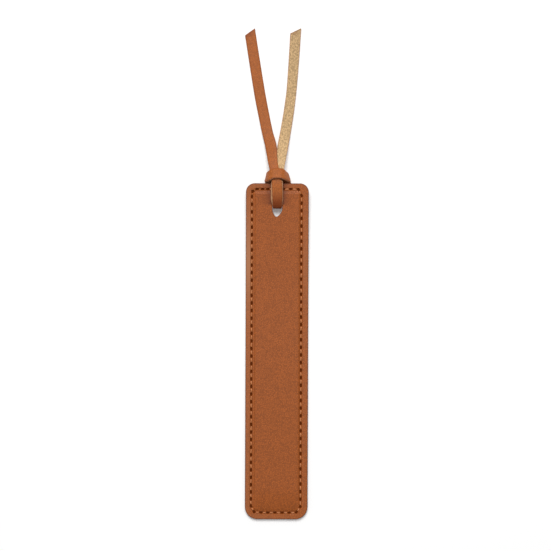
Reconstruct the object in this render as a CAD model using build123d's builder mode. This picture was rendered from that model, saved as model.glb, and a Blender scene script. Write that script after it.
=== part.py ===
from build123d import *
import os
from math import asin, cos, degrees, radians, sin, tan

# A flat stitched bookmark with a lace tied through its top end, lying face up on a table.
# Millimetres. X runs across the board, Y towards the lace's tails and Z up from the table.
# The origin is the middle of the board's outline, on the table.

os.makedirs("parts", exist_ok=True)

# Board: two panels with a stiffener between them
board_width = 28.0
board_length = 150.0
top_corner_radius = 3.9
bottom_corner_radius = 5.5
front_thickness = 0.9
back_thickness = 0.9
stiffener_thickness = 0.3
stiffener_inset = 4.4
stiffener_slack = 0.1
shoulder_width = 0.5
inner_corner_radius = 0.8
ply_gap = 0.01

# Lace hole: punched round, drawn out flat along its top by the lace
hole_width = 4.5
hole_top_inset = 9.0
hole_height = 6.4
hole_top_radius = 0.5

# Seam: a lockstitch round the edge, closed over its start by a few short stitches
seam_inset = 2.95
seam_shift = -0.35
seam_start = -4.2
stitch_pitch = 3.36
closing_pitch = 2.5
closing_stitches = 4
needle_hole_length = 1.7
needle_hole_width = 0.95
thread_width = 0.7
thread_thickness = 0.5
thread_slack = 0.03
thread_lap = 0.1
front_bed_depth = 0.35

# Lace: a flat strip, grain on one side and suede on the other, lofted a few stations at a time
lace_width = 4.8
lace_thickness = 1.0
lay_gap = 0.1
rim_gap = 0.2
table_gap = 0.05
squeeze_share = 0.86
turn_angles = (0, 30, 60, 90)
run_stations = 6
fold_gap = 1.3

# The two lays from the board's top edge to the tails. Each row gives shares of the lace's width
# for the way along, the left lay's and the right lay's shift across, then the drop below the
# height at the edge in thicknesses, the turn in plan of each lay and the squeeze of the width.
lay_share_rows = (
    (0.08, -0.05, -0.02, 0.10, 0, 0, 1.00),
    (0.50, -0.13, 0.05, 0.45, 4, -3, 0.92),
    (0.96, -0.22, 0.15, 0.95, 7, -6, 0.86),
    (1.56, -0.37, 0.21, 1.75, 9, -8, 0.88),
    (2.29, -0.49, 0.32, 2.65, 10, -9, 0.94),
    (3.13, -0.63, 0.44, 3.70, 11, -9, 1.00),
    (3.96, -0.79, 0.58, 4.70, 11, -9, 1.00),
)

# The two legs behind the board, from the hole to its top edge: across, along and height over the
# table as shares of the width and the thickness, then the turn in plan.
left_leg_share_rows = (
    (0.00, -1.70, 0.56, 0),
    (-0.17, -1.21, 0.58, 0),
    (-0.42, -0.58, 0.75, 4),
    (-0.65, -0.08, 1.15, 10),
    (-0.75, 0.27, 1.75, 30),
)
right_leg_share_rows = (
    (0.00, -1.70, 1.68, 0),
    (0.19, -1.21, 1.78, 0),
    (0.48, -0.58, 1.85, 4),
    (0.75, -0.10, 1.60, 10),
    (0.86, 0.23, 1.90, 32),
)

# The collar, from its left side over the front to its right side: across and along as shares of
# the width, height from the upper lay at the board's edge in thicknesses, turn and tilt.
collar_share_rows = (
    (-0.86, 0.52, -3.50, 58, 0),
    (-0.87, 0.73, -1.75, 80, -10),
    (-0.80, 0.81, -0.05, 88, -14),
    (-0.47, 0.87, 0.45, 90, -14),
    (0.00, 0.89, 0.52, 90, -14),
    (0.40, 0.87, 0.45, 91, -14),
    (0.72, 0.80, -0.10, 94, -14),
    (0.89, 0.72, -1.80, 86, -10),
    (0.89, 0.50, -3.50, 60, 0),
)

# Tails: where each one parts from the tied lace, and its route from there in plan and in side view
left_root_shares = (-0.935, 4.625, 1.25)
right_root_shares = (0.705, 4.625, 0.6)
left_route = [(0.0, 0.0), (-3.9, 19.3), (-8.1, 46.0)]
right_route = [(0.0, 0.0), (1.8, 11.8), (3.1, 24.3), (4.5, 46.3)]
left_fall = [(0.0, 0.0), (10.0, -0.62), (46.0, -0.68)]
right_fall = [(0.0, 0.0), (10.0, -0.03), (46.0, -0.04)]
left_tip_angle = 38.0
right_tip_angle = 22.0
bend_share = 0.45

# How the board lies: flat from its bottom end, then rising over the lace behind its top end
rise_start = 6.0
overrun = 5.0

# Derived sizes of the board
half_length = board_length / 2
half_width = board_width / 2
rim_top = back_thickness + front_thickness
field_top = rim_top + stiffener_thickness
hole_top = half_length - hole_top_inset
near_turn = rim_gap + lace_thickness / 2
far_turn = near_turn + lace_thickness + lay_gap
lace_room = far_turn + lace_thickness / 2 + table_gap
rise_radius = ((hole_top - rise_start) ** 2 + lace_room ** 2) / (2 * lace_room)
back_bed_depth = thread_thickness + 2 * thread_slack
hole_reach = needle_hole_length / 2 + thread_lap + thread_slack


def slope(y):
    """Angle of the board at a place along it: zero on the table, then along the arc."""
    return asin(max(0, y - rise_start) / rise_radius)


def on_board(x, y, height):
    """Point at a height above the board's back, square to it."""
    angle = slope(y)
    base = rise_radius * (1 - cos(angle))
    return Vector(x, y - height * sin(angle), base + height * cos(angle))


def board_normal(y):
    """Direction out of the board's front."""
    return Vector(0, -sin(slope(y)), cos(slope(y)))


def board_outline(inset):
    """The board's outline drawn in by an inset, with its own radii at the top and bottom."""
    with BuildSketch() as outline:
        Rectangle(board_width - 2 * inset, board_length - 2 * inset)
        top_corners = outline.vertices().group_by(Axis.Y)[-1]
        fillet(top_corners, max(top_corner_radius - inset, inner_corner_radius))
        bottom_corners = outline.vertices().group_by(Axis.Y)[0]
        fillet(bottom_corners, max(bottom_corner_radius - inset, inner_corner_radius))
    return outline.sketch


def side_profile(low, high):
    """Side view of one layer of the board, between two heights above its back."""
    reach = degrees(asin((half_length + overrun - rise_start) / rise_radius))
    tail_end = -half_length - overrun
    with BuildSketch(Plane.YZ) as profile:
        with BuildLine():
            foot = Line((tail_end, low), (rise_start, low))
            under = CenterArc((rise_start, rise_radius), rise_radius - low, -90, reach)
            over = CenterArc((rise_start, rise_radius), rise_radius - high, -90, reach)
            Line(under @ 1, over @ 1)
            top = Line((rise_start, high), (tail_end, high))
            Line(top @ 1, foot @ 0)
        make_face()
    return profile.sketch


def lace_hole():
    """The lace hole's outline: a half round below, nearly straight above."""
    with BuildSketch() as hole:
        with Locations((0, hole_top - hole_height / 2)):
            Rectangle(hole_width, hole_height)
        high_corners = hole.vertices().group_by(Axis.Y)[-1]
        fillet(high_corners, hole_top_radius)
        low_corners = hole.vertices().group_by(Axis.Y)[0]
        fillet(low_corners, hole_width / 2 - ply_gap)
    return hole.sketch


def seam_wire():
    """The line of the seam, from its start on the top row, towards +X and round."""
    right = half_width - seam_inset + seam_shift
    left = seam_shift - half_width + seam_inset
    end = half_length - seam_inset
    top_turn = max(top_corner_radius - seam_inset, inner_corner_radius)
    bottom_turn = max(bottom_corner_radius - seam_inset, inner_corner_radius)
    with BuildLine() as seam:
        run = FilletPolyline(
            (seam_start, end),
            (right, end),
            (right, -end),
            (left, -end),
            (left, end),
            (seam_start - ply_gap, end),
            radius=[top_turn, bottom_turn, bottom_turn, top_turn],
        )
    return run


# Places of the needle holes along the seam
seam = seam_wire()
closing_length = closing_pitch * closing_stitches
main_stitches = round((seam.length - closing_length) / stitch_pitch)
main_pitch = (seam.length - closing_length) / main_stitches
distances = [main_pitch * count for count in range(main_stitches + 1)]
distances += [seam.length - closing_pitch * count for count in range(closing_stitches - 1, 0, -1)]
hole_places = [seam.position_at(d, position_mode=PositionMode.LENGTH) for d in distances]


def stitch_frame(start, end):
    """Upright plane of one stitch, X along it and Y out of the front, and half its length."""
    near = on_board(start.X, start.Y, 0)
    far = on_board(end.X, end.Y, 0)
    run = far - near
    middle = (near + far) / 2
    across = run.cross(board_normal(middle.Y))
    return Plane(middle, run, across), run.length / 2


def hole_ends(half):
    """Middles of the two half holes that one stitch goes down, in its own plane."""
    reach = half - needle_hole_length / 2 + hole_reach / 2
    return (-reach, 0), (reach, 0)


next_places = hole_places[1:] + hole_places[:1]
stitch_frames = [stitch_frame(start, end) for start, end in zip(hole_places, next_places)]

rim_outline = board_outline(0)
field_outline = board_outline(stiffener_inset - shoulder_width)
pocket_outline = board_outline(stiffener_inset - stiffener_slack)
stiffener_outline = board_outline(stiffener_inset)
hole_outline = lace_hole()
stack_height = field_top + overrun + overrun

# Front panel: one skin over the rim and the stiffener
front_rim_profile = side_profile(back_thickness, rim_top)
front_field_profile = side_profile(back_thickness + stiffener_thickness, field_top)
front_pocket_profile = side_profile(back_thickness, back_thickness + stiffener_thickness + ply_gap)

with BuildPart() as raised_field:
    extrude(front_field_profile, amount=half_width, both=True)
    extrude(field_outline, amount=stack_height, mode=Mode.INTERSECT)

with BuildPart() as pocket:
    extrude(front_pocket_profile, amount=half_width, both=True)
    extrude(pocket_outline, amount=stack_height, mode=Mode.INTERSECT)

with BuildPart() as front_panel:
    extrude(front_rim_profile, amount=half_width, both=True)
    extrude(rim_outline, amount=stack_height, mode=Mode.INTERSECT)
    add(raised_field.part)
    add(pocket.part, mode=Mode.SUBTRACT)
    extrude(hole_outline, amount=stack_height, mode=Mode.SUBTRACT)
    for plane, half in stitch_frames:
        with BuildSketch(plane):
            with Locations((0, rim_top)):
                Rectangle(2 * half, 2 * front_bed_depth)
            with Locations(*hole_ends(half)):
                Rectangle(hole_reach, 2 * stack_height)
    extrude(amount=needle_hole_width / 2, both=True, mode=Mode.SUBTRACT)
front_panel.part.label = "front_panel"
export_step(front_panel.part, "parts/front_panel.step")

# Back panel: a plain skin under both
back_profile = side_profile(0, back_thickness - ply_gap)

with BuildPart() as back_panel:
    extrude(back_profile, amount=half_width, both=True)
    extrude(rim_outline, amount=stack_height, mode=Mode.INTERSECT)
    extrude(hole_outline, amount=stack_height, mode=Mode.SUBTRACT)
    for plane, half in stitch_frames:
        with BuildSketch(plane):
            Rectangle(2 * half, 2 * back_bed_depth)
            with Locations(*hole_ends(half)):
                Rectangle(hole_reach, 2 * stack_height)
    extrude(amount=needle_hole_width / 2, both=True, mode=Mode.SUBTRACT)
back_panel.part.label = "back_panel"
export_step(back_panel.part, "parts/back_panel.step")

# Stiffener: a thin card that stays inside the seam
stiffener_profile = side_profile(back_thickness, back_thickness + stiffener_thickness)

with BuildPart() as stiffener:
    extrude(stiffener_profile, amount=half_width, both=True)
    extrude(stiffener_outline, amount=stack_height, mode=Mode.INTERSECT)
    extrude(hole_outline, amount=stack_height, mode=Mode.SUBTRACT)
stiffener.part.label = "stiffener"
export_step(stiffener.part, "parts/stiffener.step")


def stitch_profile(half, lock, bed):
    """One stitch seen from the side: a bar along its bed that dips into the hole at each end.

    lock is the thread's height where the two threads meet, and bed its height on the leather,
    both on the side of the thread that faces the other one.
    """
    outward = thread_thickness if bed > lock else -thread_thickness
    dip = needle_hole_length / 2 - thread_slack
    crest = dip - thread_thickness / 4
    return [
        (-half - thread_lap, lock),
        (dip - half, bed),
        (half - dip, bed),
        (half + thread_lap, lock),
        (half + thread_lap, lock + outward),
        (half - crest, bed + outward),
        (crest - half, bed + outward),
        (-half - thread_lap, lock + outward),
    ]


# Needle thread: the upper thread of the lockstitch, in one run round the front
with BuildPart() as needle_thread:
    for plane, half in stitch_frames:
        with BuildSketch(plane):
            needle_lock = back_thickness + thread_slack
            needle_bed = rim_top - front_bed_depth + thread_slack
            Polygon(*stitch_profile(half, needle_lock, needle_bed), align=None)
    extrude(amount=thread_width / 2, both=True)
needle_thread.part.label = "needle_thread"
export_step(needle_thread.part, "parts/needle_thread.step")

# Bobbin thread: the lower thread, caught by the upper one inside each hole
with BuildPart() as bobbin_thread:
    for plane, half in stitch_frames:
        with BuildSketch(plane):
            bobbin_lock = back_thickness - thread_slack
            bobbin_bed = back_bed_depth - thread_slack
            Polygon(*stitch_profile(half, bobbin_lock, bobbin_bed), align=None)
    extrude(amount=thread_width / 2, both=True)
bobbin_thread.part.label = "bobbin_thread"
export_step(bobbin_thread.part, "parts/bobbin_thread.step")


def lace_spot(across_share, along_share, height):
    """Point of the lace past the board's top edge."""
    return Vector(across_share * lace_width, half_length + along_share * lace_width, height)


def width_way(turn, tilt=0):
    """Direction across the lace, turned in plan from +X and tilted from level."""
    level = cos(radians(tilt))
    return Vector(level * cos(radians(turn)), level * sin(radians(turn)), sin(radians(tilt)))


def rim_turn(radius, angle, height):
    """Place, width direction and width share on the bend round one edge of the lace hole's top rim."""
    rim = on_board(0, hole_top, height)
    up = board_normal(hole_top)
    along = up.cross(Vector(1, 0, 0))
    lean = radians(angle)
    squeeze = 1 - (1 - squeeze_share) * sin(lean)
    return rim - along * (radius * sin(lean)) + up * (radius * cos(lean)), Vector(1, 0, 0), squeeze


def rim_turns(radius):
    """The lay's way through the hole, from the board's front to its back."""
    front = [rim_turn(radius, angle, field_top) for angle in turn_angles]
    back = [rim_turn(radius, turn_angles[-1] + angle, 0) for angle in turn_angles]
    return front + back


def root_way(route):
    """Plan direction of a tail where it leaves the tied lace."""
    return Vector(*route[1]).normalized()


left_root = lace_spot(left_root_shares[0], left_root_shares[1], left_root_shares[2] * lace_thickness)
right_root = lace_spot(right_root_shares[0], right_root_shares[1], right_root_shares[2] * lace_thickness)
upper_edge = on_board(0, half_length, field_top + far_turn).Z
lower_edge = on_board(0, half_length, field_top + near_turn).Z

left_lay = [
    (lace_spot(left, along, upper_edge - drop * lace_thickness), width_way(turn), squeeze)
    for along, left, right, drop, turn, other_turn, squeeze in lay_share_rows
]
right_lay = [
    (lace_spot(right, along, lower_edge - drop * lace_thickness), width_way(turn), squeeze)
    for along, left, right, drop, other_turn, turn, squeeze in lay_share_rows
]
left_leg = [
    (lace_spot(across, along, height * lace_thickness), width_way(turn), 1)
    for across, along, height, turn in left_leg_share_rows
]
right_leg = [
    (lace_spot(across, along, height * lace_thickness), width_way(turn), 1)
    for across, along, height, turn in right_leg_share_rows
]
collar = [
    (lace_spot(across, along, upper_edge + height * lace_thickness), width_way(turn, tilt), 1)
    for across, along, height, turn, tilt in collar_share_rows
]
left_end = [(left_root - root_way(left_route) * fold_gap, width_way(lay_share_rows[-1][4]), 1)]
right_end = [(right_root - root_way(right_route) * fold_gap, width_way(lay_share_rows[-1][5]), 1)]

lace_stations = left_end + left_lay[::-1] + rim_turns(far_turn) + left_leg + collar
lace_stations += right_leg[::-1] + rim_turns(near_turn)[::-1] + right_lay + right_end
last_station = len(lace_stations) - 1


def station_plane(index):
    """Plane of one cross-section of the lace: its X across the lace, its normal along the lace."""
    before = lace_stations[max(index - 1, 0)][0]
    after = lace_stations[min(index + 1, last_station)][0]
    spot, across, squeeze = lace_stations[index]
    along = (after - before).normalized()
    square = across - along * across.dot(along)
    return Plane(spot, square, along)


# Tied lace: one strip down the front, through the hole, up behind, over the tails as a collar, and back
with BuildPart() as lace_hitch:
    for start in range(0, last_station, run_stations):
        for index in range(start, min(start + run_stations, last_station) + 1):
            with BuildSketch(station_plane(index)):
                Rectangle(lace_width * lace_stations[index][2], lace_thickness)
        loft(ruled=True)
lace_hitch.part.label = "lace_hitch"
export_step(lace_hitch.part, "parts/lace_hitch.step")


def bend_radii(points):
    """Radius at each inner point of a route, as large as its two runs allow."""
    radii = []
    for before, here, after in zip(points, points[1:], points[2:]):
        first = here - before
        second = after - here
        half_turn = radians(first.get_angle(second)) / 2
        radii.append(bend_share * min(first.length, second.length) / tan(half_turn))
    return radii


def tail_outline(root, route):
    """Plan view of a tail: a strip along its route, run out past both of its ends."""
    points = [root + Vector(*point) for point in route]
    points[0] = points[0] - root_way(route) * lace_thickness
    points[-1] = points[-1] + (points[-1] - points[-2]).normalized() * lace_width
    points = [Vector(point.X, point.Y, 0) for point in points]
    radii = bend_radii(points)
    print("tail bends in plan", [round(radius) for radius in radii])
    with BuildSketch() as outline:
        with BuildLine():
            FilletPolyline(*points, radius=radii)
        trace(line_width=lace_width)
    return outline.sketch


def tail_profile(root, fall):
    """Side view of a tail: a band along its fall, rounded about the fold, which runs along X."""
    points = [Vector(*point) for point in fall]
    points[-1] = points[-1] + Vector(lace_width, 0)
    radii = bend_radii(points)
    print("tail bends in side view", [round(radius) for radius in radii])
    with BuildSketch(Plane(root, Vector(0, 1, 0), Vector(1, 0, 0))) as profile:
        with BuildLine():
            FilletPolyline(*points, radius=radii)
        trace(line_width=lace_thickness)
        Circle(lace_thickness / 2)
    return profile.sketch


def tip_plane(root, route, angle):
    """Upright plane of the slanting cut at a tail's tip."""
    tip = root + Vector(*route[-1])
    return Plane(tip, z_dir=Vector(-sin(radians(angle)), cos(radians(angle)), 0))


left_outline = tail_outline(left_root, left_route)
left_profile = tail_profile(left_root, left_fall)
right_outline = tail_outline(right_root, right_route)
right_profile = tail_profile(right_root, right_fall)

# Left tail: the free end of the upper lay, grain side up
with BuildPart() as left_tail:
    extrude(left_profile, amount=board_width, both=True)
    extrude(left_outline, amount=stack_height, mode=Mode.INTERSECT)
    split(bisect_by=tip_plane(left_root, left_route, left_tip_angle), keep=Keep.BOTTOM)
left_tail.part.label = "left_tail"
export_step(left_tail.part, "parts/left_tail.step")

# Right tail: the free end of the lower lay, suede side up
with BuildPart() as right_tail:
    extrude(right_profile, amount=board_width, both=True)
    extrude(right_outline, amount=stack_height, mode=Mode.INTERSECT)
    split(bisect_by=tip_plane(right_root, right_route, right_tip_angle), keep=Keep.BOTTOM)
right_tail.part.label = "right_tail"
export_step(right_tail.part, "parts/right_tail.step")

print("stitches", len(stitch_frames), "pitch", round(main_pitch, 3), "rise radius", round(rise_radius, 1))
print("left fold", left_root, "right fold", right_root)
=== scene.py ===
"""A flat stitched bookmark with a lace hitched through its top end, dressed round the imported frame."""

import math
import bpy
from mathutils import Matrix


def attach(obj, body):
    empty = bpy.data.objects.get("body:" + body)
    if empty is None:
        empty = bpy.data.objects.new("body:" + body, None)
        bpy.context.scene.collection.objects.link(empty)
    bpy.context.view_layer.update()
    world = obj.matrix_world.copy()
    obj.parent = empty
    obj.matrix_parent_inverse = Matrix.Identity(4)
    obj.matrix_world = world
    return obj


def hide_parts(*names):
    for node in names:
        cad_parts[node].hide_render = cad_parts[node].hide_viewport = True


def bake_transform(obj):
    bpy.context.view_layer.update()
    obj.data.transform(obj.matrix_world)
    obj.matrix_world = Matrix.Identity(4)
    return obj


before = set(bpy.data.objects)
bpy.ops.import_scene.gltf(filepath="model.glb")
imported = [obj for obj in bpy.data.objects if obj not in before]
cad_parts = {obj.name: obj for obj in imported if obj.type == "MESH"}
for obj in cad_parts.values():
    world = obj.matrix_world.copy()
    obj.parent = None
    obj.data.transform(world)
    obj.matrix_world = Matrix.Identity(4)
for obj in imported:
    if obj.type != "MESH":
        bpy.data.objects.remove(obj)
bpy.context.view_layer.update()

from types import SimpleNamespace

import bpy
import numpy as np
from bpy.props import FloatProperty, FloatVectorProperty, IntProperty, PointerProperty
from mathutils import Vector

bl_info = {
    "name": "Stitched bookmark",
    "version": (1, 0, 0),
    "blender": (4, 5, 0),
    "location": "View3D > Sidebar > Bookmark",
    "description": "Builds the leather skins, the lockstitched seam and the hitched lace of a bookmark",
    "category": "Object",
}


def length(name, description, default):
    """A length in metres that a user may change."""
    return FloatProperty(
        name=name, description=description, default=default, precision=5, subtype="DISTANCE", unit="LENGTH"
    )


def portion(name, description, default):
    """A share of one that a user may change."""
    return FloatProperty(name=name, description=description, default=default, min=0, max=1)


def colour(name, description, default):
    """A scene-linear colour that a user may change."""
    return FloatVectorProperty(
        name=name, description=description, default=(*default, 1.0), size=4, min=0, max=1, subtype="COLOR"
    )


class BoardSizes(bpy.types.PropertyGroup):
    """The strip: its outline, its layers and the way it lies."""

    width: length("Width", "Width of the strip", 0.028)
    length: length("Length", "Length of the strip", 0.150)
    top_radius: length("Top corner", "Radius of the corners beside the lace", 0.0039)
    bottom_radius: length("Bottom corner", "Radius of the corners at the other end", 0.0055)
    inner_radius: length("Inner corner", "Least radius of a line drawn inside the outline", 0.0008)
    back_thickness: length("Back skin", "Thickness of the back skin", 0.0009)
    front_thickness: length("Front skin", "Thickness of the front skin", 0.0009)
    swell: length("Swell", "Rise of the front over the stiffener", 0.0003)
    field_inset: length("Field inset", "From the edge to the top of the raised field", 0.0044)
    shoulder: length("Shoulder", "Width of the slope up to the raised field", 0.0005)
    edge_round: length("Edge round", "Rounding of the painted edges", 0.00035)
    ply_gap: length("Ply gap", "Gap between the two skins", 0.00001)
    rise_start: length("Rise start", "Where the strip leaves the table, along it", 0.006)
    rise_radius: length("Rise radius", "Radius of the bend that lifts the top end over the lace", 0.7671)


class HoleSizes(bpy.types.PropertyGroup):
    """The lace hole: nearly straight above, tapered to a rounded tip that leans to the left."""

    top: length("Top", "Place of the hole's upper rim along the strip", 0.066)
    width: length("Width", "Width of the hole", 0.0044)
    height: length("Height", "Height of the hole", 0.0058)
    top_radius: length("Top radius", "Radius of the hole's upper corners", 0.0005)
    taper: portion("Taper", "Share of its width that the hole loses at its bottom", 0.48)
    lean: length("Lean", "How far the hole's bottom lies to the left", 0.00035)
    rim_round: length("Rim round", "Rounding of the hole's rim", 0.0003)


class SeamSizes(bpy.types.PropertyGroup):
    """The lockstitch round the edge."""

    inset: length("Inset", "From the edge to the seam", 0.00295)
    top_inset: length("Top inset", "From the edge beside the lace to the seam", 0.0026)
    shift: length("Shift", "Shift of the whole seam across the strip", -0.00027)
    start: length("Start", "Where the seam starts on the top row, across the strip", -0.0042)
    top_turn: length("Top turn", "Radius of the seam's corners beside the lace", 0.0020)
    pitch: length("Pitch", "Length of one stitch", 0.00336)
    closing_pitch: length("Closing pitch", "Length of the short stitches that close the seam", 0.00242)
    closing_stitches: IntProperty(name="Closing stitches", description="Number of short stitches", default=4)
    hole_length: length("Hole length", "Length of a needle hole along the seam", 0.0017)
    hole_width: length("Hole width", "Width of a needle hole", 0.00095)
    thread_width: length("Thread width", "Width of the thread on the leather", 0.0007)
    thread_thickness: length("Thread thickness", "Thickness of the thread", 0.0005)
    front_bed: length("Front bed", "Depth of the thread's groove in the front", 0.00035)
    back_bed: length("Back bed", "Depth of the thread's groove in the back", 0.00056)


class LaceSizes(bpy.types.PropertyGroup):
    """The flat lace."""

    width: length("Width", "Width of the lace", 0.0048)
    thickness: length("Thickness", "Thickness of the lace", 0.001)
    near_turn: length("Near turn", "Radius of the inner lay's bend at the hole", 0.0007)
    far_turn: length("Far turn", "Radius of the outer lay's bend at the hole", 0.0018)
    slack: length("Slack", "How far before the hole the outer lay starts to bend", 0.0036)
    squeeze: portion("Squeeze", "Share of its width that the lace keeps in the hole", 0.86)


class Finishes(bpy.types.PropertyGroup):
    """The colours of the materials."""

    leather: colour("Leather", "Saddle brown of both skins", (0.356, 0.088, 0.0125))
    # Painted sheen on the rim: paler outside the seam, most on the left.
    rim_sheen_tint: colour("Rim sheen tint", "Leather worn pale outside the seam", (0.450, 0.190, 0.085))
    edge_paint: colour("Edge paint", "Painted edge of both skins", (0.120, 0.030, 0.008))
    # Painted shade: in the needle holes, where the thread dips into them, and on the leather beside the lace.
    needle_hole: colour("Needle hole", "Needle holes, and leather rubbed dark", (0.130, 0.027, 0.005))
    thread: colour("Thread", "Seam thread", (0.520, 0.180, 0.058))
    grain: colour("Grain", "Smooth side of the lace", (0.405, 0.108, 0.0150))
    # Painted shade on the lace where it bends into the hole; the same colour darkens its margins and its
    # tips.
    burnish: colour("Burnish", "Lace where it bends, at its margins and its tips", (0.148, 0.020, 0.0012))
    suede: colour("Suede", "Napped side of the lace", (0.565, 0.376, 0.192))
    cut_edge: colour("Cut edge", "Raw edge of the lace", (0.450, 0.190, 0.095))
    card: colour("Card", "Fibre board between the skins", (0.500, 0.420, 0.310))
    floor: colour("Floor", "Table top", (0.990, 0.990, 0.990))


class StageSizes(bpy.types.PropertyGroup):
    """Camera, light and table."""

    frame_width: length("Frame width", "Width of the view on the table", 0.24670)
    centre_x: length("Centre across", "Middle of the view across the strip", -0.00071)
    centre_y: length("Centre along", "Middle of the view along the strip", 0.03389)
    lens: FloatProperty(name="Lens", description="Focal length in millimetres", default=100.0, min=10.0)
    roll: FloatProperty(
        name="Roll", description="Turn of the camera about its view", subtype="ANGLE",
        default=math.radians(0.22),
    )
    key_power: FloatProperty(
        name="Key power", description="Power of the soft lamp", default=25.4, subtype="POWER"
    )
    sky: FloatProperty(name="Sky", description="Strength of the even light all round", default=0.30)


GROUPS = {
    "bookmark_board": BoardSizes, "bookmark_hole": HoleSizes, "bookmark_seam": SeamSizes,
    "bookmark_lace": LaceSizes, "bookmark_finishes": Finishes, "bookmark_stage": StageSizes,
}


def sizes(context):
    """All settings of the scene, each by the last word of its group's label."""
    return SimpleNamespace(**{label.split("_")[1]: getattr(context.scene, label) for label in GROUPS})


# Shapes


def ease(share):
    """Smooth step: 3 s squared less 2 s cubed, held to 0 and 1 outside."""
    held = np.clip(share, 0, 1)
    return held * held * (3 - 2 * held)


def unit(vectors):
    """Vectors at length one."""
    return vectors / np.linalg.norm(vectors, axis=-1, keepdims=True)


def lay_on_table(board, across, along, height):
    """Board coordinates to the frame: flat up to the rise, then along an arc, with height square to it.

    The board's angle is the arc sine of the way past the rise over the radius, and its back stands
    the radius times one less the cosine over the table.
    """
    angle = np.arcsin(np.maximum(along - board.rise_start, 0) / board.rise_radius)
    lift = board.rise_radius * (1 - np.cos(angle))
    return np.stack([across, along - height * np.sin(angle), lift + height * np.cos(angle)], -1)


def rounded_ring(section, share, sides, radii):
    """Rounded rectangle: eight sections in turn, a straight run and then a quarter circle.

    A run goes in proportion from its start to its end. A corner is its centre and the radius times
    the cosine and sine of an angle that falls by a quarter turn.
    """
    left, right, low, high = sides
    top, bottom = radii
    starts = np.array([
        (left + top, high), (right - top, high - top), (right, high - top), (right - bottom, low + bottom),
        (right - bottom, low), (left + bottom, low + bottom), (left, low + bottom), (left + top, high - top),
    ])
    ends = np.array([
        (right - top, high), (right - top, high - top), (right, low + bottom), (right - bottom, low + bottom),
        (left + bottom, low), (left + bottom, low + bottom), (left, high - top), (left + top, high - top),
    ])
    bends = np.array([0, top, 0, bottom, 0, bottom, 0, top])
    first_angles = np.radians([0, 90, 0, 0, 0, -90, 0, 180])
    angle = first_angles[section] - np.radians(90) * share
    run = starts[section] + (ends[section] - starts[section]) * share[:, None]
    return run + bends[section][:, None] * np.stack([np.cos(angle), np.sin(angle)], -1)


def outline_ring(board, section, share, inset):
    """The board's outline drawn in by an inset, its corner radii less the inset, down to the inner one."""
    half_width, half_length = board.width / 2 - inset, board.length / 2 - inset
    radii = [max(radius - inset, board.inner_radius) for radius in (board.top_radius, board.bottom_radius)]
    return rounded_ring(section, share, (-half_width, half_width, -half_length, half_length), radii)


def seam_frame(board, seam):
    """Sides and radii of the seam's line: the outline drawn in by the seam's insets and shifted across.

    Its top corners have a radius of their own, wider than the drawn-in outline's.
    """
    half_width, half_length = board.width / 2 - seam.inset, board.length / 2
    low, high = seam.inset - half_length, half_length - seam.top_inset
    radii = seam.top_turn, max(board.bottom_radius - seam.inset, board.inner_radius)
    return (seam.shift - half_width, seam.shift + half_width, low, high), radii


def seam_ring(board, seam, section, share, inward):
    """The seam's line drawn in by a distance, or out where that is negative."""
    (left, right, low, high), (top, bottom) = seam_frame(board, seam)
    sides = (left + inward, right - inward, low + inward, high - inward)
    least = board.inner_radius / 2
    return rounded_ring(section, share, sides, (max(top - inward, least), max(bottom - inward, least)))


def seam_lengths(board, seam):
    """Lengths of the seam's eight sections, and where its start lies past the first one's start."""
    (left, right, low, high), (top, bottom) = seam_frame(board, seam)
    quarter = math.pi / 2
    run, side, foot = right - left - 2 * top, high - low - top - bottom, right - left - 2 * bottom
    lengths = [run, quarter * top, side, quarter * bottom, foot, quarter * bottom, side, quarter * top]
    return np.array(lengths), seam.start - (left + top)


# Where the stitches round the bottom end are shorter: share of the seam's way, its reach, and by how much.
BOTTOM_TURN = (0.55, 0.06, 0.076)


def stitch_places(board, seam):
    """Distances of the needle holes along the seam from its start, and the seam's length.

    Even stitches fill the seam but for a few short ones that close it. Round the bottom end they are
    shorter by a flat-topped bell in the share of the way, so those down the sides come out longer.
    """
    total = seam_lengths(board, seam)[0].sum()
    closing = seam.closing_pitch * seam.closing_stitches
    count = round((total - closing) / seam.pitch)
    place, reach, less = BOTTOM_TURN
    way = (np.arange(count) + 0.5) / count
    parts = 1 - less * np.exp(-(((way - place) / reach) ** 4))
    even = np.concatenate([[0], np.cumsum(parts)]) * (total - closing) / parts.sum()
    short = total - seam.closing_pitch * np.arange(seam.closing_stitches - 1, 0, -1)
    return np.concatenate([even, short]), total


def seam_sections(board, seam, distance):
    """Section and share of places along the seam, found on the running sum of its sections' lengths."""
    lengths, offset = seam_lengths(board, seam)
    sums = np.concatenate([[0], np.cumsum(lengths)])
    place = np.mod(distance + offset, sums[-1])
    section = np.clip(np.searchsorted(sums, place, side="right") - 1, 0, len(lengths) - 1)
    return section, (place - sums[section]) / lengths[section]


def needle_holes(board, seam):
    """Plan places of the needle holes, in order along the seam."""
    section, share = seam_sections(board, seam, stitch_places(board, seam)[0])
    return seam_ring(board, seam, section, share, 0.0)


# Where the skins' columns lie in a stitch and in a corner, as shares of the way, and their least distance.
STITCH_SHARES = np.array([0.0, 0.14, 0.22, 0.29, 0.5, 0.71, 0.78, 0.86])
CORNER_SHARES = np.linspace(0.0, 1.0, 15)
LEAST_STEP = 1e-5


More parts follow.
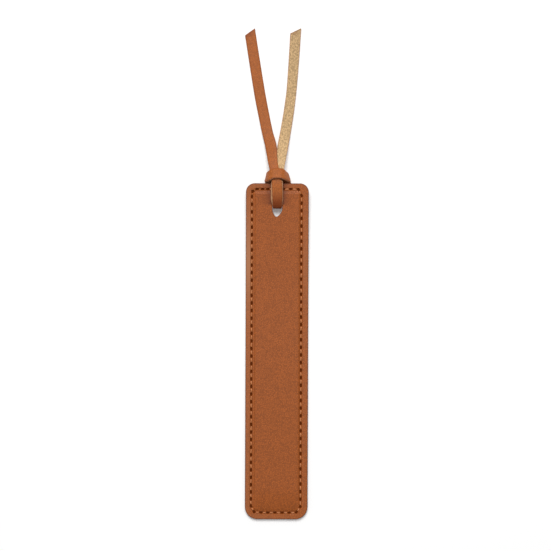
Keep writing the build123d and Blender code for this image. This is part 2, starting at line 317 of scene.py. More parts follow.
def seam_columns(board, seam):
    """Columns of the skins' grids: some to each stitch, closer at its needle holes, more round corners."""
    distances, total = stitch_places(board, seam)
    ends = np.append(distances[1:], total)
    even = distances[:, None] + (ends - distances)[:, None] * STITCH_SHARES
    lengths, offset = seam_lengths(board, seam)
    starts = np.cumsum(lengths) - lengths - offset
    corners = np.mod(starts[1::2, None] + lengths[1::2, None] * CORNER_SHARES, total)
    place = np.sort(np.concatenate([even.ravel(), corners.ravel()]))
    place = place[np.diff(place, prepend=-1.0) > LEAST_STEP]
    stitch = np.searchsorted(distances, place, side="right") - 1
    section, share = seam_sections(board, seam, place)
    return section, share, stitch


# A needle hole's half sizes as shares of its length and width, and its depth.
HALF_LONG, HALF_WIDE = 0.57, 0.52
NEEDLE_PIT = 0.78e-3


def stitch_dents(board, seam, plan, stitch):
    """Groove and needle-hole masks at plan points, each measured from its own stitch's chord.

    The groove falls off with the sixth power of the way across over a needle hole's half width, and a
    needle hole with the cube of the summed squares of the way along and across over its half sizes.
    """
    holes = needle_holes(board, seam)
    starts, ends = holes[stitch], np.roll(holes, -1, axis=0)[stitch]
    run = ends - starts
    span = np.linalg.norm(run, axis=1)
    way = run / span[:, None]
    offset = plan - starts
    along = (offset * way).sum(-1)
    across = (offset[..., 0] * way[:, 1] - offset[..., 1] * way[:, 0]) / (seam.hole_width * HALF_WIDE)
    nearest = np.minimum(np.abs(along), np.abs(along - span)) / (seam.hole_length * HALF_LONG)
    return np.exp(-(across ** 6)), np.exp(-((nearest ** 2 + across ** 2) ** 3))


# Steps in each section of the lace hole's outline, and half the straight run left between its lower corners.
RING_STEPS, LEAST_RUN = 60, 1e-6


def lace_hole_ring(hole, plan, spread):
    """Where the line from the hole's middle to a plan point crosses the hole's outline, spread outwards.

    The outline is a rounded rectangle whose lower corners make a half circle, narrowed and moved to
    the left in proportion to the way below the middle.
    """
    middle = np.array([0.0, hole.top - hole.height / 2])
    half = hole.width / 2
    section = np.repeat(np.arange(8), RING_STEPS)
    share = np.tile(np.linspace(0, 1, RING_STEPS, endpoint=False), 8)
    sides = (-half - spread, half + spread, hole.top - hole.height - spread, hole.top + spread)
    radii = (hole.top_radius + spread, half + spread - LEAST_RUN)
    edge = rounded_ring(section, share, sides, radii) - middle
    below = np.clip(-2 * edge[:, 1] / hole.height, 0, 1)
    edge[:, 0] = edge[:, 0] * (1 - hole.taper * below) - hole.lean * below
    angles = np.mod(np.arctan2(edge[:, 1], edge[:, 0]), 2 * math.pi)
    reach = np.linalg.norm(edge, axis=1)
    order = np.argsort(angles)
    toward = plan - middle
    bearing = np.arctan2(toward[:, 1], toward[:, 0])
    found = np.interp(np.mod(bearing, 2 * math.pi), angles[order], reach[order], period=2 * math.pi)
    return middle + np.stack([np.cos(bearing), np.sin(bearing)], -1) * found[:, None]


# Rows of a skin: a depth in its wall as a share of its thickness, angles round its edge with their shares of
# paint, insets on the rim, ways in from the seam, shares of the shoulder, shares of the way to the lace hole
# and back inside, angles round the hole's rim with their share of paint, and shares of the hole's depth.
WALL_SHARE = 0.65
EDGE_ROWS = ((30, 1.0), (55, 0.8), (75, 0.5), (90, 0.25))
RIM_INSETS = (0.6e-3, 1.0e-3)
SEAM_ROWS = 1e-3 * np.array([-1.1, -0.8, -0.62, -0.5, -0.4, -0.28, -0.14, 0, 0.14, 0.28, 0.4, 0.5, 0.58])
SHOULDER_SHARES = (0.04, 0.25, 0.5, 0.75, 1.0)
FIELD_SHARES = 1 - (1 - np.linspace(0, 1, 26)[1:]) ** 2
POCKET_SHARES = 1 - (1 - np.linspace(0, 1, 12)[1:]) ** 0.5
HOLE_ANGLES, HOLE_PAINT = (30, 60, 90), 0.35
BORE_SHARES = (0.6, 1.0)
# Play round the stiffener, and the inset of the row that closes the inner side.
POCKET_PLAY, LIP_INSET = 0.1e-3, 2.0e-3


def skin(board, hole, seam, face, inner, swell, bed):
    """One skin of the strip as a closed grid: columns round the seam, rows from the edge to the lace hole.

    Each row is a ring in plan with a depth under the outer face. The rows run up the wall, over the
    rounded edge, across the seam, up the shoulder, in proportion to the lace hole, down its rim, and
    back along the inner side, which joins the first row. Grooves and needle holes add to the depth.
    """
    section, share, stitch = seam_columns(board, seam)
    thick = abs(face - inner)
    rows = []

    def add(plan, depth, painted=0.0, dent=False):
        """One more ring, with its depth, its share of paint and whether the seam dents it."""
        rows.append((plan, depth, painted, dent))

    def outline(inset):
        """The board's outline at the grid's columns."""
        return outline_ring(board, section, share, inset)

    for depth in (thick, thick * WALL_SHARE, board.edge_round):
        add(outline(0.0), depth, 1.0)
    for angle, painted in EDGE_ROWS:
        lean = math.radians(angle)
        inset, depth = (board.edge_round * (1 - way) for way in (math.cos(lean), math.sin(lean)))
        add(outline(inset), depth, painted)
    for inset in RIM_INSETS:
        add(outline(inset), 0.0)
    for inward in SEAM_ROWS:
        add(seam_ring(board, seam, section, share, inward), 0.0, dent=True)
    for step in SHOULDER_SHARES:
        add(outline(board.field_inset - board.shoulder * (1 - step)), -swell * ease(step))
    field = outline(board.field_inset)
    rim = lace_hole_ring(hole, field, hole.rim_round)
    for step in FIELD_SHARES:
        add(field + (rim - field) * step, -swell)
    for angle in HOLE_ANGLES:
        lean = math.radians(angle)
        spread = hole.rim_round * (1 - math.sin(lean))
        add(lace_hole_ring(hole, field, spread), hole.rim_round * (1 - math.cos(lean)) - swell, HOLE_PAINT)
    pocket_depth = thick - swell
    bore = lace_hole_ring(hole, field, 0.0)
    for step in BORE_SHARES:
        add(bore, pocket_depth * step, HOLE_PAINT)
    pocket = outline(board.field_inset - POCKET_PLAY)
    for step in POCKET_SHARES:
        add(bore + (pocket - bore) * step, pocket_depth)
    add(pocket, thick)
    add(outline(LIP_INSET), thick)

    plan, depth, paint, dented = (np.array(values) for values in zip(*rows))
    groove, needle = (mask * dented[:, None] for mask in stitch_dents(board, seam, plan, stitch))
    depth = depth[:, None] + np.maximum(bed * groove, NEEDLE_PIT * needle)
    points = lay_on_table(board, plan[..., 0], plan[..., 1], face - np.sign(face - inner) * depth)
    return points, needle, groove, np.broadcast_to(paint[:, None], depth.shape)


# Painted shade that the raised lace casts on the leather beside it: half its reach in lace widths, the fall
# beside it on the left and the right, the way over which it eases in under the hole's top, and its strength.
CONTACT_SHADE_HALF, CONTACT_SHADE_FALLS, CONTACT_SHADE_EASE, CONTACT_SHADE_STRENGTH = 0.55, (2.2e-3, 1.3e-3), 1.4e-3, 0.95


def lace_contact_shade(hole, lace, points):
    """How dark the painted shade beside the lace is: less with the way out from it, from the hole upwards.

    It falls with the exponential of the gap to the lace's edge, more slowly on the left, and eases in
    over the hole's upper end.
    """
    gap = np.maximum(np.abs(points[..., 0]) - lace.width * CONTACT_SHADE_HALF, 0)
    fall = np.where(points[..., 0] < 0, *CONTACT_SHADE_FALLS)
    return CONTACT_SHADE_STRENGTH * np.exp(-gap / fall) * ease((points[..., 1] - hole.top + CONTACT_SHADE_EASE) / CONTACT_SHADE_EASE)


# Painted sheen on the rim: its place along the strip and its reach there, the inset where it ends, and the
# way over which it fades. Then its strength in the middle and what the left adds, all along the strip and at
# that place.
SHEEN_PLACE, SHEEN_REACH, SHEEN_INSET, SHEEN_FADE = 0.041, 0.018, 2.7e-3, 0.8e-3
SHEEN_EVEN, SHEEN_THERE = (0.1, 0.06), (0.42, 0.27)


def painted_rim_sheen(board, points):
    """How strong the painted sheen is outside the seam: most on the left and round a place above the middle.

    It eases off from the edge to the seam, and its strength is a plain share of the way to the left
    with a bell curve along the strip added.
    """
    x, y = points[..., 0], points[..., 1]
    inset = np.minimum(board.width / 2 - np.abs(x), board.length / 2 - np.abs(y))
    leftward = -2 * x / board.width
    bell = np.exp(-(((y - SHEEN_PLACE) / SHEEN_REACH) ** 2))
    even, there = (middle + left * leftward for middle, left in (SHEEN_EVEN, SHEEN_THERE))
    return ease((SHEEN_INSET - inset) / SHEEN_FADE) * (even + there * bell)


def grid_faces(rows, columns, close_rows, flip):
    """Quads of a grid whose columns close on themselves, and its rows too if asked."""
    row = np.arange(rows if close_rows else rows - 1)
    column = np.arange(columns)
    here, there = row[:, None] * columns, ((row + 1) % rows)[:, None] * columns
    after = (column + 1) % columns
    quads = np.stack([here + column, here + after, there + after, there + column], -1).reshape(-1, 4)
    return quads[:, ::-1] if flip else quads


# Angles in degrees above which an edge of a skin, a lace or a thread is shaded sharp.
SKIN_CREASE, LACE_CREASE, THREAD_CREASE = 35.0, 50.0, 60.0


def make_mesh(name, points, faces, attributes, crease):
    """A mesh object at the origin from points, faces and named values, smooth up to the crease's angle."""
    mesh = bpy.data.meshes.new(name)
    points = points.reshape(-1, 3)
    mesh.vertices.add(len(points))
    mesh.vertices.foreach_set("co", np.ascontiguousarray(points, np.float32).ravel())
    counts = np.array([len(face) for face in faces])
    corners = np.concatenate(list(faces)).astype(np.int32)
    mesh.loops.add(len(corners))
    mesh.loops.foreach_set("vertex_index", corners)
    mesh.polygons.add(len(faces))
    mesh.polygons.foreach_set("loop_start", (np.cumsum(counts) - counts).astype(np.int32))
    mesh.update(calc_edges=True)
    mesh.validate()
    for label, values in attributes.items():
        values = np.asarray(values, np.float32)
        kind, field = ("FLOAT_VECTOR", "vector") if values.size > len(points) else ("FLOAT", "value")
        mesh.attributes.new(label, kind, "POINT").data.foreach_set(field, values.ravel())
    mesh.shade_smooth()
    mesh.set_sharp_from_angle(angle=math.radians(crease))
    piece = bpy.data.objects.new(name, mesh)
    bpy.context.scene.collection.objects.link(piece)
    return piece


# The thread: where its rings lie in a stitch, angles of a ring's points, how far from a hole's middle it
# starts to rise and how long the rise is, the length of one twist, how far the plies swell, what their radius
# is divided by, half its width in thread widths, and the share of that which it keeps in the holes.
THREAD_SHARES = np.array([0.0, 0.12, 0.19, 0.25, 0.31, 0.38, 0.5, 0.62, 0.69, 0.75, 0.81, 0.88])
RING_ANGLES = np.linspace(0, 2 * math.pi, 12, endpoint=False)
RISE_START, RISE_RUN, TWIST_LENGTH = 0.66e-3, 0.5e-3, 1.7e-3
PLY_SWELL, PLY_MEAN, HALF_SPREAD, DIP_WIDTH = 0.11, 1.06, 0.58, 0.82


def seam_thread(board, seam, lock, crest):
    """A two-ply thread round the seam: a twisted tube that dips into each needle hole.

    Along a stitch its height eases from the lock inside the hole to the crest on the leather. Its
    section is an ellipse whose radius swells twice round, and the swelling turns with the way along.
    """
    holes = needle_holes(board, seam)
    run = np.roll(holes, -1, axis=0) - holes
    span = np.linalg.norm(run, axis=1)
    plan = (holes[:, None] + run[:, None] * THREAD_SHARES[None, :, None]).reshape(-1, 2)
    nearest = (np.minimum(THREAD_SHARES, 1 - THREAD_SHARES)[None] * span[:, None]).ravel()
    rise = ease((nearest - RISE_START) / RISE_RUN)
    height = lock + (crest - lock) * rise
    centre = lay_on_table(board, plan[:, 0], plan[:, 1], height)
    tangent = unit(np.roll(centre, -1, axis=0) - np.roll(centre, 1, axis=0))
    up = lay_on_table(board, plan[:, 0], plan[:, 1], height + 1e-3) - centre
    side = unit(np.cross(tangent, up))
    over = np.cross(side, tangent)
    travelled = np.cumsum(np.linalg.norm(centre - np.roll(centre, 1, axis=0), axis=1))
    twist = 2 * math.pi * round(travelled[-1] / TWIST_LENGTH) * travelled / travelled[-1]
    ply = (1 + PLY_SWELL * np.cos(2 * RING_ANGLES[None] - twist[:, None])) / PLY_MEAN
    spread = seam.thread_width * HALF_SPREAD * (DIP_WIDTH + (1 - DIP_WIDTH) * rise)
    wide = spread[:, None] * ply * np.cos(RING_ANGLES)[None]
    deep = seam.thread_thickness / 2 * ply * np.sin(RING_ANGLES)[None]
    points = centre[:, None] + wide[..., None] * side[:, None] + deep[..., None] * over[:, None]
    dip = np.repeat(1 - rise, len(RING_ANGLES))
    return points, dip, (twist[:, None] / (2 * math.pi) - RING_ANGLES[None] / math.pi)


def spline_points(route, steps):
    """Points of a NURBS line of order 3 with the route's points as its control points."""
    data = bpy.data.curves.new("route", "CURVE")
    data.dimensions = "3D"
    data.resolution_u = steps
    line = data.splines.new("NURBS")
    line.points.add(len(route) - 1)
    line.points.foreach_set("co", np.column_stack([route, np.ones(len(route))]).astype(np.float32).ravel())
    line.order_u = 3
    line.use_endpoint_u = True
    holder = bpy.data.objects.new("route", data)
    bpy.context.scene.collection.objects.link(holder)
    bpy.context.view_layer.update()
    made = bpy.data.meshes.new_from_object(holder.evaluated_get(bpy.context.evaluated_depsgraph_get()))
    points = np.empty(len(made.vertices) * 3, np.float32)
    made.vertices.foreach_get("co", points)
    bpy.data.objects.remove(holder)
    bpy.data.curves.remove(data)
    bpy.data.meshes.remove(made)
    return points.reshape(-1, 3).astype(float)


CROWN_DROP = 0.10


def lace_profile():
    """Section of the lace, as shares of its half width and half thickness: crowned grain, square cut sides.

    The grain side falls with the cube of the way out and rounds over to the cut sides, and the suede
    side stays nearly sharp.
    """
    crown = [(x, 1.0 - CROWN_DROP * abs(x) ** 3) for x in (0.8, 0.55, 0.28, 0.0, -0.28, -0.55, -0.8)]
    flesh = [(x, -1.0) for x in (-0.93, -0.62, -0.31, 0.0, 0.31, 0.62, 0.93)]
    right = [(0.99, -0.8), (1.0, -0.35), (1.0, 0.2), (0.975, 0.55), (0.92, 0.78)]
    left = [(-x, y) for x, y in reversed(right)]
    return np.array(crown + left + flesh + right)


def strip(lace, centre, across, width):
    """A flat lace along a path: its profile carried along, and the flat strip's own coordinates.

    At each point the profile's X runs across the lace and its Y along the cross product of the way
    along and the way across, which is the grain side.
    """
    tangent = unit(np.gradient(centre, axis=0))
    across = unit(across - tangent * (across * tangent).sum(1)[:, None])
    grain = np.cross(tangent, across)
    profile = lace_profile()
    wide = profile[:, 0][None] * (width / 2)[:, None]
    deep = np.broadcast_to(profile[:, 1][None] * lace.thickness / 2, wide.shape)
    points = centre[:, None] + wide[..., None] * across[:, None] + deep[..., None] * grain[:, None]
    travelled = np.concatenate([[0], np.cumsum(np.linalg.norm(np.diff(centre, axis=0), axis=1))])
    flat = np.stack([np.broadcast_to(travelled[:, None], wide.shape), wide, deep], -1)
    return points, flat


def strip_mesh(name, points, flat, shades):
    """The strip's mesh: quads along it and one face over each end, with its shades by point."""
    rows, columns = points.shape[:2]
    ends = [np.arange(columns), np.arange(columns)[::-1] + (rows - 1) * columns]
    faces = list(grid_faces(rows, columns, False, True)) + ends
    return make_mesh(name, points, faces, {"strip": flat} | shades, LACE_CREASE)


def width_way(turn, tilt):
    """Direction across the lace, turned in plan from +X and tilted from level, both in degrees."""
    turn, tilt = np.radians(turn), np.radians(tilt)
    return np.stack([np.cos(tilt) * np.cos(turn), np.cos(tilt) * np.sin(turn), np.sin(tilt) + 0 * turn], -1)


# Stations of the tied lace. Places are in lace widths from the middle of the board's top edge, heights and
# drops in lace thicknesses, turns and tilts of its width in degrees, and the last value is the share of its
# width that it keeps. The two lays on the front: along, upper and lower lay's way across, drop, upper and
# lower lay's turn, share.
LAY_ROWS = np.array([
    (0.96, -0.22, 0.15, 0.95, 7, -6, 0.86),
    (0.50, -0.13, 0.04, 0.45, 4, -3, 0.92),
    (0.08, -0.05, -0.05, 0.10, 0, 0, 1.00),
])
# The legs behind the board, over the table, and the collar, over the upper lay: across, along, height, turn,
# tilt, share.
LEFT_LEG_ROWS = np.array([
    (0.00, -1.70, 0.56, 0, 0, 1.0), (-0.17, -1.21, 0.58, 0, 0, 1.0), (-0.42, -0.58, 0.75, 4, 0, 1.0),
    (-0.65, -0.08, 1.15, 8, 0, 0.95), (-0.81, 0.38, 1.75, 14, 0, 0.85),
])
RIGHT_LEG_ROWS = np.array([
    (0.92, 0.30, 1.90, 4, 0, 0.85), (0.74, -0.10, 1.60, 6, 0, 0.95), (0.48, -0.58, 1.85, 4, 0, 1.0),
    (0.19, -1.21, 1.78, 0, 0, 1.0), (0.00, -1.70, 1.68, 0, 0, 1.0),
])
COLLAR_ROWS = np.array([
    (-1.05, 0.51, -3.50, 80, 0, 0.85), (-0.94, 0.57, -1.75, 80, -8, 1.0), (-0.72, 0.68, -0.05, 86, -18, 1.0),
    (-0.46, 0.86, 0.50, 90, -22, 1.0), (0.00, 0.88, 0.60, 90, -24, 1.0), (0.42, 0.87, 0.50, 93, -22, 1.0),
    (0.64, 0.75, -0.10, 98, -18, 1.0), (0.88, 0.60, -1.80, 108, -8, 1.0), (1.12, 0.45, -3.50, 112, 0, 0.85),
])
# A quarter turn at the hole, in degrees, and how wide the upper and the lower lay are on the front and in the
# bend, in lace widths. The lower one's slack and squeeze are shares of the upper one's, and its bend starts a
# little to the left.
TURN_ANGLES = (0, 30, 60, 90)
LAY_WIDTHS, BEND_WIDTHS = (0.93, 1.08), (0.96, 1.18)
LOWER_SLACK, LOWER_SQUEEZE, LOWER_ASIDE = 0.6, 0.90, -0.20e-3


def lace_stations(board, hole, lace):
    """Place, width direction and width share of the tied lace, from under the collar round and back.

    The bends at the hole are arcs about the edges of its upper rim. The other stations are shares of
    the lace's width and thickness from the middle of the board's top edge.
    """
    field_top = board.back_thickness + board.front_thickness + board.swell
    edge = board.length / 2
    lifts = [lay_on_table(board, 0.0, edge, field_top + turn)[2] for turn in (lace.far_turn, lace.near_turn)]

    def spot(across, along, height):
        """Places from lace widths past the middle of the board's top edge, and heights."""
        return np.stack([across * lace.width, edge + along * lace.width, height], -1)

    def lay(lower):
        """The upper or the lower lay on the front, its drops taken from where it leaves the board."""
        along, upper_across, lower_across, drop, upper_turn, lower_turn, share = LAY_ROWS.T
        across, turn = (lower_across, lower_turn) if lower else (upper_across, upper_turn)
        place = spot(across, along, lifts[lower] - drop * lace.thickness)
        return place, width_way(turn, 0), share * LAY_WIDTHS[lower]

    def loop(rows, base):
        """A leg or the collar, its heights added to a base."""
        across, along, height, turn, tilt, share = rows.T
        return spot(across, along, base + height * lace.thickness), width_way(turn, tilt), share

    def bend(radius, slack, aside, width, squeeze):
        """A half turn through the hole: one quarter about the rim's front edge and one about its back edge.

        The slack and the way aside go with one less the sine of the first quarter's angle.
        """
        lean = np.radians(TURN_ANGLES + tuple(90 + angle for angle in TURN_ANGLES))
        first = np.arange(len(lean)) < len(TURN_ANGLES)
        ahead = first * (1 - np.sin(lean))
        rim = lay_on_table(board, np.zeros_like(lean), np.full_like(lean, hole.top), first * field_top)
        up = lay_on_table(board, 0.0, hole.top, 1.0) - lay_on_table(board, 0.0, hole.top, 0.0)
        along = np.cross(up, (1.0, 0.0, 0.0))
        forth, rise = slack * ahead - radius * np.sin(lean), radius * np.cos(lean)
        place = rim + along * forth[:, None] + up * rise[:, None]
        place[:, 0] += aside * ahead
        return place, width_way(np.zeros_like(lean), 0), width * (1 - (1 - squeeze) * np.sin(lean))

    def back(parts):
        """The same stations the other way round."""
        return tuple(part[::-1] for part in parts)

    upper = bend(lace.far_turn, lace.slack, 0.0, BEND_WIDTHS[0], lace.squeeze)
    lower = bend(
        lace.near_turn, LOWER_SLACK * lace.slack, LOWER_ASIDE, BEND_WIDTHS[1], LOWER_SQUEEZE * lace.squeeze
    )
    runs = (
        lay(0), upper, loop(LEFT_LEG_ROWS, 0.0), loop(COLLAR_ROWS, lifts[0]), loop(RIGHT_LEG_ROWS, 0.0),
        back(lower), back(lay(1)),
    )
    return tuple(np.concatenate(parts) for parts in zip(*runs))


# Each tail's route from under the collar over its fold to its tip, in metres, with the share of its width
# that the lace keeps and its roll in degrees. Then the slant of each tip in degrees.
LEFT_TAIL = np.array([
    (-0.00106, 0.07961, 0.00605, 0.86, 0), (-0.00178, 0.08249, 0.00525, 0.88, 5),
    (-0.00235, 0.08599, 0.00435, 0.97, 12), (-0.00270, 0.09002, 0.00330, 1.08, 13),
    (-0.00350, 0.09401, 0.00230, 1.06, 10), (-0.004488, 0.09720, 0.00125, 1.02, 4),
    (-0.00634, 0.10637, 0.00066, 1.01, 0), (-0.00839, 0.11650, 0.00060, 1.03, 0),
    (-0.01253, 0.14280, 0.00057, 1.01, 0),
])
RIGHT_TAIL = np.array([
    (0.00072, 0.07961, 0.00495, 0.86, 0), (0.00101, 0.08249, 0.00415, 0.88, 0),
    (0.00154, 0.08599, 0.00325, 0.94, 0), (0.00211, 0.09002, 0.00220, 1.00, 0),
    (0.00278, 0.09401, 0.00120, 1.00, 0), (0.003384, 0.09720, 0.00062, 0.99, 0),
    (0.00530, 0.10900, 0.00057, 0.96, 0), (0.00668, 0.12150, 0.00057, 0.92, 0),
    (0.00792, 0.14330, 0.00056, 0.99, 0),
])
LEFT_TIP_ANGLE, RIGHT_TIP_ANGLE = 36.0, 26.0
# Spare length that the slant is cut from, how dark a tip is, how far that reaches, and steps of the lines.
OVERRUN = np.linspace(0.4e-3, 2.0e-3, 5)[:, None]
TIP_SHADE, TIP_FADE = 0.5, 0.7e-3
TAIL_STEPS, KNOT_STEPS = 16, 6


def tail_strip(lace, stations, tip_angle, grain_up):
    """One tail along its route, its tip cut on a slant.

    The width lies square to the way along in plan, and rises to the right by the tangent of the roll.
    Past the slant, points slide back along the tail onto the upright plane through the route's end.
    """
    path = spline_points(stations[:, :3], TAIL_STEPS)
    share, marks = np.linspace(0, 1, len(path)), np.linspace(0, 1, len(stations))
    width = lace.width * np.interp(share, marks, stations[:, 3])
    tangent = unit(np.gradient(path, axis=0))
    level = unit(np.stack([tangent[:, 1], -tangent[:, 0], np.zeros(len(path))], -1))
    level[:, 2] = np.tan(np.radians(np.interp(share, marks, stations[:, 4])))
    across = -unit(level) if grain_up else unit(level)
    spare = len(OVERRUN)
    points, flat = strip(
        lace,
        np.concatenate([path, path[-1] + tangent[-1] * OVERRUN]),
        np.concatenate([across, np.repeat(across[-1:], spare, 0)]),
        np.append(width, np.full(spare, width[-1])),
    )
    lean = math.radians(tip_angle)
    normal = np.array([-math.sin(lean), math.cos(lean), 0.0])
    ahead = ((points - path[-1]) * normal).sum(-1)
    past = np.maximum(ahead, 0)[..., None] / (tangent[-1] * normal).sum()
    tip_shade = TIP_SHADE * ease(1 + ahead / TIP_FADE)
    return points - past * tangent[-1], flat - past * (1.0, 0.0, 0.0), path, tip_shade


# Materials


def add_node(tree, kind, values=None, **settings):
    """A node with its settings, and its inputs set or linked by name or index."""
    made = tree.nodes.new(kind)
    for name, value in settings.items():
        setattr(made, name, value)
    for key, value in (values or {}).items():
        if isinstance(value, bpy.types.NodeSocket):
            tree.links.new(value, made.inputs[key])
        else:
            made.inputs[key].default_value = value
    return made


def compute(tree, operation, first, second=0.0):
    """Output of a Math node."""
    return add_node(tree, "ShaderNodeMath", {0: first, 1: second}, operation=operation).outputs[0]


def weighed_sum(tree, *terms):
    """Sum of values, each times its weight."""
    total = 0.0
    for value, weight in terms:
        factors = {0: value, 1: weight, 2: total}
        total = add_node(tree, "ShaderNodeMath", factors, operation="MULTIPLY_ADD").outputs[0]
    return total


def remap(tree, value, low, high, new_low=0.0, new_high=1.0):
    """Output of a clamped Map Range node."""
    ends = {0: value, 1: low, 2: high, 3: new_low, 4: new_high}
    return add_node(tree, "ShaderNodeMapRange", ends, clamp=True).outputs[0]


def mix_colour(tree, factor, first, second):
    """Output of a colour Mix node."""
    return add_node(tree, "ShaderNodeMix", {0: factor, 6: first, 7: second}, data_type="RGBA").outputs[2]


def tinted(base, share):
    """A colour times a share, held to one."""
    return (*(min(part * share, 1.0) for part in base[:3]), 1.0)


def attribute(tree, name, output="Fac"):
    """A named value at the mesh's points."""
    return add_node(tree, "ShaderNodeAttribute", attribute_name=name).outputs[output]


def object_place(tree):
    """The place in the object's own coordinates."""
    return add_node(tree, "ShaderNodeTexCoord").outputs["Object"]


def noise(tree, vector, scale, detail=2.0, roughness=0.5):
    """Output of a Noise texture."""
    values = {"Vector": vector, "Scale": scale, "Detail": detail, "Roughness": roughness}
    return add_node(tree, "ShaderNodeTexNoise", values).outputs[0]


def pebbled_grain(group, vector, scale):
    """Fine pebbled grain: the distance to a cell's edge, broken up by noise, toned by flecks and clouds."""
    spread = {"Vector": vector, "Scale": scale}
    cells = add_node(group, "ShaderNodeTexVoronoi", spread, feature="DISTANCE_TO_EDGE")
    crease = remap(group, cells.outputs["Distance"], 0.0, 0.22)
    flecks, clouds = noise(group, vector, 1050.0, roughness=0.6), noise(group, vector, 260.0)
    height = weighed_sum(group, (crease, 1.0), (noise(group, vector, 5200.0), 0.5))
    return height, weighed_sum(group, (crease, 0.35), (flecks, 0.45), (clouds, 0.20))


def suede_nap(group, vector, scale):
    """Suede nap: short fibres from noise drawn out along the lace, over blotches."""
    drawn = add_node(group, "ShaderNodeMapping", {"Vector": vector, "Scale": (0.55, 1.0, 1.0)}).outputs[0]
    fibres = noise(group, drawn, scale, 3.0, 0.7)
    return fibres, weighed_sum(group, (fibres, 0.65), (noise(group, vector, 1300.0, 3.0), 0.35))


def texture_group(make):
    """A node group from Vector and Scale to Height and Tone, built once and used again."""
    name = make.__name__.replace("_", " ").capitalize()
    group = bpy.data.node_groups.get(name)
    if group is None:
        group = bpy.data.node_groups.new(name, "ShaderNodeTree")
        for label, way, kind in (
            ("Vector", "INPUT", "NodeSocketVector"), ("Scale", "INPUT", "NodeSocketFloat"),
            ("Height", "OUTPUT", "NodeSocketFloat"), ("Tone", "OUTPUT", "NodeSocketFloat"),
        ):
            group.interface.new_socket(label, in_out=way, socket_type=kind)
        start, end = group.nodes.new("NodeGroupInput"), group.nodes.new("NodeGroupOutput")
        made = make(group, start.outputs["Vector"], start.outputs["Scale"])
        for label, value in zip(("Height", "Tone"), made):
            group.links.new(value, end.inputs[label])
    return group


def place_texture(tree, make, vector, scale):
    """Height and Tone of a texture's node group placed in a material."""
    values = {"Vector": vector, "Scale": scale}
    placed = add_node(tree, "ShaderNodeGroup", values, node_tree=texture_group(make))
    return placed.outputs["Height"], placed.outputs["Tone"]


def new_material(name):
    """An empty node material with its tree and its Principled shader."""
    made = bpy.data.materials.new(name)
    made.use_nodes = True
    return made, made.node_tree, made.node_tree.nodes["Principled BSDF"]


def coat(tree, base, layers):
    """A colour with others laid over it in turn, each by its share."""
    for share, layer in layers:
        base = mix_colour(tree, share, base, layer)
    return base


def shade(tree, shader, base, roughness, height, strength, distance):
    """Links a colour, a roughness and a bump to the shader."""
    bump = add_node(tree, "ShaderNodeBump", {"Height": height, "Strength": strength, "Distance": distance})
    for value, label in ((base, "Base Color"), (roughness, "Roughness"), (bump.outputs[0], "Normal")):
        tree.links.new(value, shader.inputs[label])


def leather_material(finishes):
    """Saddle leather: pebbled satin grain, a painted sheen on the rim, edge paint, and painted shade in the
    needle holes and beside the lace.
    """
    made, tree, shader = new_material("saddle_leather")
    height, tone = place_texture(tree, pebbled_grain, object_place(tree), 1500.0)
    hole = attribute(tree, "needle_hole")
    dark, pale = tinted(finishes.leather, 0.77), tinted(finishes.leather, 1.20)
    base = coat(tree, mix_colour(tree, remap(tree, tone, 0.45, 0.65), dark, pale), (
        # painted sheen on the rim, most on the left
        (attribute(tree, "rim_sheen"), finishes.rim_sheen_tint),
        # painted highlight: the seam's groove is lightened towards pale leather
        (compute(tree, "MULTIPLY", attribute(tree, "groove"), 0.70), pale),
        # painted shade on the leather beside the lace
        (attribute(tree, "contact_shade"), finishes.needle_hole),
        (compute(tree, "MULTIPLY", attribute(tree, "edge_paint"), 0.85), finishes.edge_paint),
        # painted shade down in the needle holes
        (remap(tree, hole, 0.15, 0.8), finishes.needle_hole),
    ))
    rough = remap(tree, height, 0.2, 1.3, 0.62, 0.48)
    shade(tree, shader, base, rough, height, strength=0.35, distance=0.00005)
    tree.links.new(remap(tree, hole, 0.1, 0.6, 0.35, 0.0), shader.inputs["Specular IOR Level"])
    return made


def thread_material(finishes):
    """Twisted thread: a painted highlight on the crown of each ply, and painted shade between plies
    and down in the needle holes.
    """
    made, tree, shader = new_material("seam_thread")
    dip = attribute(tree, "dip")
    # painted highlight and shade: paler on each ply's crown, darker between plies
    wave = compute(tree, "SINE", compute(tree, "MULTIPLY", attribute(tree, "strand"), 2 * math.pi))
    fibre = noise(tree, object_place(tree), 9000.0)
    ply = remap(tree, compute(tree, "ADD", wave, fibre), -0.5, 1.5)
    twisted = mix_colour(tree, ply, tinted(finishes.thread, 0.72), tinted(finishes.thread, 1.15))
    # painted shade where the thread dips into the needle holes
    base = mix_colour(tree, remap(tree, dip, 0.1, 0.75), twisted, finishes.needle_hole)
    rough = remap(tree, fibre, 0.3, 0.7, 0.45, 0.6)
    shade(tree, shader, base, rough, fibre, strength=0.2, distance=0.00003)
    tree.links.new(remap(tree, dip, 0.1, 0.6, 0.4, 0.0), shader.inputs["Specular IOR Level"])
    return made


